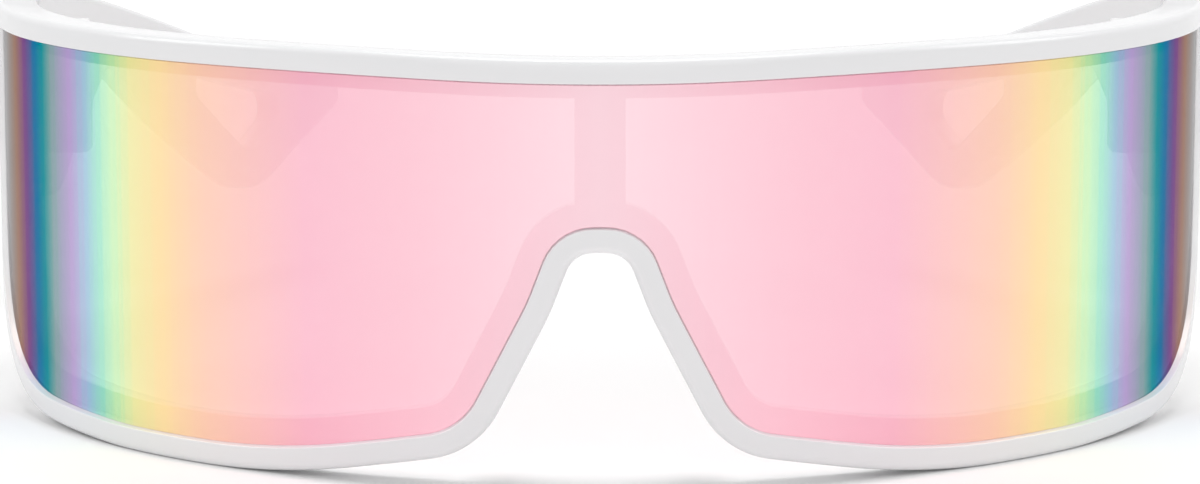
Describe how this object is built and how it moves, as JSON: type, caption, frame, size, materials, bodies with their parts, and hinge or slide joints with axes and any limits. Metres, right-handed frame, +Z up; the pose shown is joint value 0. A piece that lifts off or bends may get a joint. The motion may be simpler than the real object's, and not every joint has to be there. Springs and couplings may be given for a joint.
{
  "type": "shield sunglasses",
  "caption": "Wrap-round shield sunglasses with a single mirrored lens in a white moulded rim and folding temples with windowed ends.",
  "frame": {"origin": "on the floor that the rim's flat lower edge rests on, under the middle of the part's width and depth", "axes": "+X to the wearer's left, +Y from the lens towards the temples' ends, +Z up"},
  "size_m": [0.1502, 0.1724, 0.0514],
  "materials": {
    "white_plastic": "gloss moulded white",
    "mirrored_lens": "mirror coating, pink in the middle and rainbow towards the sides",
    "hinge_steel": "plain"
  },
  "bodies": {
    "front": {"front_frame": "white_plastic", "shield_lens": "mirrored_lens", "left_front_hinge_leaf": "hinge_steel", "right_front_hinge_leaf": "hinge_steel", "left_hinge_screw": "hinge_steel", "right_hinge_screw": "hinge_steel", "left_front_leaf_screws": "hinge_steel", "right_front_leaf_screws": "hinge_steel"},
    "left_arm": {"left_temple": "white_plastic", "left_temple_hinge_leaf": "hinge_steel", "left_temple_leaf_screws": "hinge_steel"},
    "right_arm": {"right_temple": "white_plastic", "right_temple_hinge_leaf": "hinge_steel", "right_temple_leaf_screws": "hinge_steel"}
  },
  "joints": [
    {"name": "left_temple_fold", "type": "hinge", "parent": "front", "child": "left_arm", "pos_m": [0.06805, -0.0156, 0.039], "axis": [0, 0, 1], "range_deg": [0, 88]},
    {"name": "right_temple_fold", "type": "hinge", "parent": "front", "child": "right_arm", "pos_m": [-0.06805, -0.0156, 0.039], "axis": [0, 0, -1], "range_deg": [0, 72]}
  ]
}
